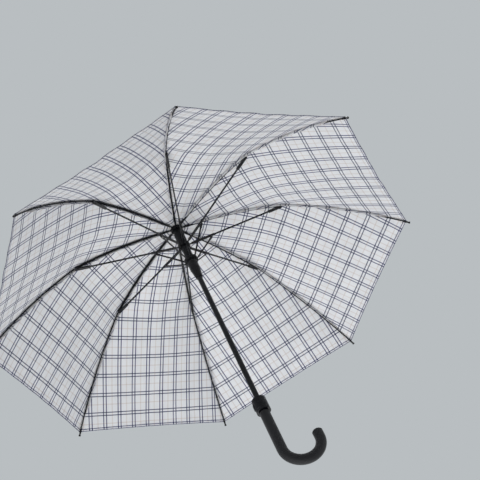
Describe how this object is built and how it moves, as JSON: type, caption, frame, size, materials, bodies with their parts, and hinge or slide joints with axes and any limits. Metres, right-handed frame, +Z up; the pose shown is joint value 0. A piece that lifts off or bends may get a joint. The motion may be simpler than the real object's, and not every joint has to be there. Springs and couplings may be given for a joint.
{
  "type": "stick umbrella",
  "caption": "Long automatic stick umbrella, open, with a checked cloth canopy on a sprung rib and strut frame, black shaft and crook handle.",
  "frame": {"origin": "middle of the hand grip, on the shaft's axis", "axes": "+Z up the shaft towards the ferrule; +X towards the side the crook bends to; rib 1 lies along -Y"},
  "size_m": [1.0786, 1.0786, 0.8642],
  "materials": {
    "black_steel": "painted gloss black",
    "black_rod": "black fibreglass rod",
    "black_plastic": "moulded satin black",
    "gloss_plastic": "moulded gloss black",
    "cloth": "woven polyester with paired dark check lines"
  },
  "bodies": {
    "frame": {"shaft": "black_steel", "top_notch": "black_plastic", "notch_sleeve": "black_plastic", "crown_cap": "black_plastic", "ferrule": "gloss_plastic", "handle": "black_plastic", "handle_collar": "gloss_plastic"},
    "button": {"release_button": "black_steel"},
    "rib_1": {"rib_channel_1": "black_steel", "canopy_1": "cloth"},
    "rod_1": {"rib_rod_1": "black_rod", "rib_tip_1": "gloss_plastic"},
    "link_1": {"stretcher_1": "black_steel"},
    "prop_1": {"strut_1": "black_steel"},
    "rib_2": {"rib_channel_2": "black_steel", "canopy_2": "cloth"},
    "rod_2": {"rib_rod_2": "black_rod", "rib_tip_2": "gloss_plastic"},
    "link_2": {"stretcher_2": "black_steel"},
    "prop_2": {"strut_2": "black_steel"},
    "rib_3": {"rib_channel_3": "black_steel", "canopy_3": "cloth"},
    "rod_3": {"rib_rod_3": "black_rod", "rib_tip_3": "gloss_plastic"},
    "link_3": {"stretcher_3": "black_steel"},
    "prop_3": {"strut_3": "black_steel"},
    "rib_4": {"rib_channel_4": "black_steel", "canopy_4": "cloth"},
    "rod_4": {"rib_rod_4": "black_rod", "rib_tip_4": "gloss_plastic"},
    "link_4": {"stretcher_4": "black_steel"},
    "prop_4": {"strut_4": "black_steel"},
    "rib_5": {"rib_channel_5": "black_steel", "canopy_5": "cloth"},
    "rod_5": {"rib_rod_5": "black_rod", "rib_tip_5": "gloss_plastic"},
    "link_5": {"stretcher_5": "black_steel"},
    "prop_5": {"strut_5": "black_steel"},
    "rib_6": {"rib_channel_6": "black_steel", "canopy_6": "cloth"},
    "rod_6": {"rib_rod_6": "black_rod", "rib_tip_6": "gloss_plastic"},
    "link_6": {"stretcher_6": "black_steel"},
    "prop_6": {"strut_6": "black_steel"},
    "rib_7": {"rib_channel_7": "black_steel", "canopy_7": "cloth"},
    "rod_7": {"rib_rod_7": "black_rod", "rib_tip_7": "gloss_plastic"},
    "link_7": {"stretcher_7": "black_steel"},
    "prop_7": {"strut_7": "black_steel"},
    "rib_8": {"rib_channel_8": "black_steel", "canopy_8": "cloth"},
    "rod_8": {"rib_rod_8": "black_rod", "rib_tip_8": "gloss_plastic"},
    "link_8": {"stretcher_8": "black_steel"},
    "prop_8": {"strut_8": "black_steel"},
    "hub": {"upper_hub": "black_plastic", "spring_tube": "gloss_plastic"},
    "runner": {"strut_ring": "black_plastic", "lower_runner": "gloss_plastic"}
  },
  "joints": [
    {"name": "rib_1_fold", "type": "hinge", "parent": "frame", "child": "rib_1", "pos_m": [0, -0.012, 0.682], "axis": [1, 0, 0], "range_deg": [0, 80.1], "stiffness_Nm_per_rad": 1.2, "springref_deg": -126.05, "deforming": ["canopy_1"]},
    {"name": "rod_1_flex", "type": "hinge", "parent": "rib_1", "child": "rod_1", "pos_m": [0, -0.27116, 0.65338], "axis": [1, 0, 0], "range_deg": [-25.91, 0]},
    {"name": "link_1_turn", "type": "hinge", "parent": "rib_1", "child": "link_1", "pos_m": [0, -0.26989, 0.64896], "axis": [1, 0, 0], "range_deg": [-161.2, 0]},
    {"name": "prop_1_turn", "type": "hinge", "parent": "link_1", "child": "prop_1", "pos_m": [0, -0.07411, 0.61903], "axis": [1, 0, 0], "range_deg": [0, 38.83]},
    {"name": "rib_2_fold", "type": "hinge", "parent": "frame", "child": "rib_2", "pos_m": [0.00848, -0.00848, 0.682], "axis": [0.7071, 0.7071, 0], "range_deg": [0, 80.1], "deforming": ["canopy_2"]},
    {"name": "rod_2_flex", "type": "hinge", "parent": "rib_2", "child": "rod_2", "pos_m": [0.19174, -0.19174, 0.65338], "axis": [0.7071, 0.7071, 0], "range_deg": [-25.91, 0]},
    {"name": "link_2_turn", "type": "hinge", "parent": "rib_2", "child": "link_2", "pos_m": [0.19084, -0.19084, 0.64896], "axis": [0.7071, 0.7071, 0], "range_deg": [-161.2, 0]},
    {"name": "prop_2_turn", "type": "hinge", "parent": "link_2", "child": "prop_2", "pos_m": [0.0524, -0.0524, 0.61903], "axis": [0.7071, 0.7071, 0], "range_deg": [0, 38.83]},
    {"name": "rib_3_fold", "type": "hinge", "parent": "frame", "child": "rib_3", "pos_m": [0.012, 0, 0.682], "axis": [0, 1, 0], "range_deg": [0, 80.1], "deforming": ["canopy_3"]},
    {"name": "rod_3_flex", "type": "hinge", "parent": "rib_3", "child": "rod_3", "pos_m": [0.27116, 0, 0.65338], "axis": [0, 1, 0], "range_deg": [-25.91, 0]},
    {"name": "link_3_turn", "type": "hinge", "parent": "rib_3", "child": "link_3", "pos_m": [0.26989, 0, 0.64896], "axis": [0, 1, 0], "range_deg": [-161.2, 0]},
    {"name": "prop_3_turn", "type": "hinge", "parent": "link_3", "child": "prop_3", "pos_m": [0.07411, 0, 0.61903], "axis": [0, 1, 0], "range_deg": [0, 38.83]},
    {"name": "rib_4_fold", "type": "hinge", "parent": "frame", "child": "rib_4", "pos_m": [0.00848, 0.00848, 0.682], "axis": [-0.7071, 0.7071, 0], "range_deg": [0, 80.1], "deforming": ["canopy_4"]},
    {"name": "rod_4_flex", "type": "hinge", "parent": "rib_4", "child": "rod_4", "pos_m": [0.19174, 0.19174, 0.65338], "axis": [-0.7071, 0.7071, 0], "range_deg": [-25.91, 0]},
    {"name": "link_4_turn", "type": "hinge", "parent": "rib_4", "child": "link_4", "pos_m": [0.19084, 0.19084, 0.64896], "axis": [-0.7071, 0.7071, 0], "range_deg": [-161.2, 0]},
    {"name": "prop_4_turn", "type": "hinge", "parent": "link_4", "child": "prop_4", "pos_m": [0.0524, 0.0524, 0.61903], "axis": [-0.7071, 0.7071, 0], "range_deg": [0, 38.83]},
    {"name": "rib_5_fold", "type": "hinge", "parent": "frame", "child": "rib_5", "pos_m": [0, 0.012, 0.682], "axis": [-1, 0, 0], "range_deg": [0, 80.1], "deforming": ["canopy_5"]},
    {"name": "rod_5_flex", "type": "hinge", "parent": "rib_5", "child": "rod_5", "pos_m": [0, 0.27116, 0.65338], "axis": [-1, 0, 0], "range_deg": [-25.91, 0]},
    {"name": "link_5_turn", "type": "hinge", "parent": "rib_5", "child": "link_5", "pos_m": [0, 0.26989, 0.64896], "axis": [-1, 0, 0], "range_deg": [-161.2, 0]},
    {"name": "prop_5_turn", "type": "hinge", "parent": "link_5", "child": "prop_5", "pos_m": [0, 0.07411, 0.61903], "axis": [-1, 0, 0], "range_deg": [0, 38.83]},
    {"name": "rib_6_fold", "type": "hinge", "parent": "frame", "child": "rib_6", "pos_m": [-0.00848, 0.00848, 0.682], "axis": [-0.7071, -0.7071, 0], "range_deg": [0, 80.1], "deforming": ["canopy_6"]},
    {"name": "rod_6_flex", "type": "hinge", "parent": "rib_6", "child": "rod_6", "pos_m": [-0.19174, 0.19174, 0.65338], "axis": [-0.7071, -0.7071, 0], "range_deg": [-25.91, 0]},
    {"name": "link_6_turn", "type": "hinge", "parent": "rib_6", "child": "link_6", "pos_m": [-0.19084, 0.19084, 0.64896], "axis": [-0.7071, -0.7071, 0], "range_deg": [-161.2, 0]},
    {"name": "prop_6_turn", "type": "hinge", "parent": "link_6", "child": "prop_6", "pos_m": [-0.0524, 0.0524, 0.61903], "axis": [-0.7071, -0.7071, 0], "range_deg": [0, 38.83]},
    {"name": "rib_7_fold", "type": "hinge", "parent": "frame", "child": "rib_7", "pos_m": [-0.012, 0, 0.682], "axis": [0, -1, 0], "range_deg": [0, 80.1], "deforming": ["canopy_7"]},
    {"name": "rod_7_flex", "type": "hinge", "parent": "rib_7", "child": "rod_7", "pos_m": [-0.27116, 0, 0.65338], "axis": [0, -1, 0], "range_deg": [-25.91, 0]},
    {"name": "link_7_turn", "type": "hinge", "parent": "rib_7", "child": "link_7", "pos_m": [-0.26989, 0, 0.64896], "axis": [0, -1, 0], "range_deg": [-161.2, 0]},
    {"name": "prop_7_turn", "type": "hinge", "parent": "link_7", "child": "prop_7", "pos_m": [-0.07411, 0, 0.61903], "axis": [0, -1, 0], "range_deg": [0, 38.83]},
    {"name": "rib_8_fold", "type": "hinge", "parent": "frame", "child": "rib_8", "pos_m": [-0.00848, -0.00848, 0.682], "axis": [0.7071, -0.7071, 0], "range_deg": [0, 80.1], "deforming": ["canopy_8"]},
    {"name": "rod_8_flex", "type": "hinge", "parent": "rib_8", "child": "rod_8", "pos_m": [-0.19174, -0.19174, 0.65338], "axis": [0.7071, -0.7071, 0], "range_deg": [-25.91, 0]},
    {"name": "link_8_turn", "type": "hinge", "parent": "rib_8", "child": "link_8", "pos_m": [-0.19084, -0.19084, 0.64896], "axis": [0.7071, -0.7071, 0], "range_deg": [-161.2, 0]},
    {"name": "prop_8_turn", "type": "hinge", "parent": "link_8", "child": "prop_8", "pos_m": [-0.0524, -0.0524, 0.61903], "axis": [0.7071, -0.7071, 0], "range_deg": [0, 38.83]},
    {"name": "hub_level", "type": "hinge", "parent": "link_1", "child": "hub", "pos_m": [0, -0.012, 0.61591], "axis": [1, 0, 0], "range_deg": [0, 80.6]},
    {"name": "runner_slide", "type": "slide", "parent": "hub", "child": "runner", "axis": [0, 0, 1], "range_m": [0, 0.03449]},
    {"name": "button_press", "type": "slide", "parent": "frame", "child": "button", "axis": [1, 0, 0], "range_m": [0, 0.0015], "stiffness_N_per_m": 600, "springref_m": -0.003}
  ],
  "couplings": [
    {"joint": "rod_1_flex", "follows": "rib_1_fold", "ratio": -0.31729},
    {"joint": "link_1_turn", "follows": "rib_1_fold", "ratio": -2},
    {"joint": "prop_1_turn", "follows": "rib_1_fold", "ratio": 0.47858},
    {"joint": "rib_2_fold", "follows": "rib_1_fold", "ratio": 1},
    {"joint": "rod_2_flex", "follows": "rib_1_fold", "ratio": -0.31729},
    {"joint": "link_2_turn", "follows": "rib_1_fold", "ratio": -2},
    {"joint": "prop_2_turn", "follows": "rib_1_fold", "ratio": 0.47858},
    {"joint": "rib_3_fold", "follows": "rib_1_fold", "ratio": 1},
    {"joint": "rod_3_flex", "follows": "rib_1_fold", "ratio": -0.31729},
    {"joint": "link_3_turn", "follows": "rib_1_fold", "ratio": -2},
    {"joint": "prop_3_turn", "follows": "rib_1_fold", "ratio": 0.47858},
    {"joint": "rib_4_fold", "follows": "rib_1_fold", "ratio": 1},
    {"joint": "rod_4_flex", "follows": "rib_1_fold", "ratio": -0.31729},
    {"joint": "link_4_turn", "follows": "rib_1_fold", "ratio": -2},
    {"joint": "prop_4_turn", "follows": "rib_1_fold", "ratio": 0.47858},
    {"joint": "rib_5_fold", "follows": "rib_1_fold", "ratio": 1},
    {"joint": "rod_5_flex", "follows": "rib_1_fold", "ratio": -0.31729},
    {"joint": "link_5_turn", "follows": "rib_1_fold", "ratio": -2},
    {"joint": "prop_5_turn", "follows": "rib_1_fold", "ratio": 0.47858},
    {"joint": "rib_6_fold", "follows": "rib_1_fold", "ratio": 1},
    {"joint": "rod_6_flex", "follows": "rib_1_fold", "ratio": -0.31729},
    {"joint": "link_6_turn", "follows": "rib_1_fold", "ratio": -2},
    {"joint": "prop_6_turn", "follows": "rib_1_fold", "ratio": 0.47858},
    {"joint": "rib_7_fold", "follows": "rib_1_fold", "ratio": 1},
    {"joint": "rod_7_flex", "follows": "rib_1_fold", "ratio": -0.31729},
    {"joint": "link_7_turn", "follows": "rib_1_fold", "ratio": -2},
    {"joint": "prop_7_turn", "follows": "rib_1_fold", "ratio": 0.47858},
    {"joint": "rib_8_fold", "follows": "rib_1_fold", "ratio": 1},
    {"joint": "rod_8_flex", "follows": "rib_1_fold", "ratio": -0.31729},
    {"joint": "link_8_turn", "follows": "rib_1_fold", "ratio": -2},
    {"joint": "prop_8_turn", "follows": "rib_1_fold", "ratio": 0.47858},
    {"joint": "hub_level", "follows": "rib_1_fold", "ratio": 1},
    {"joint": "runner_slide", "follows": "rib_1_fold", "m_per_rad": 0.024311}
  ]
}
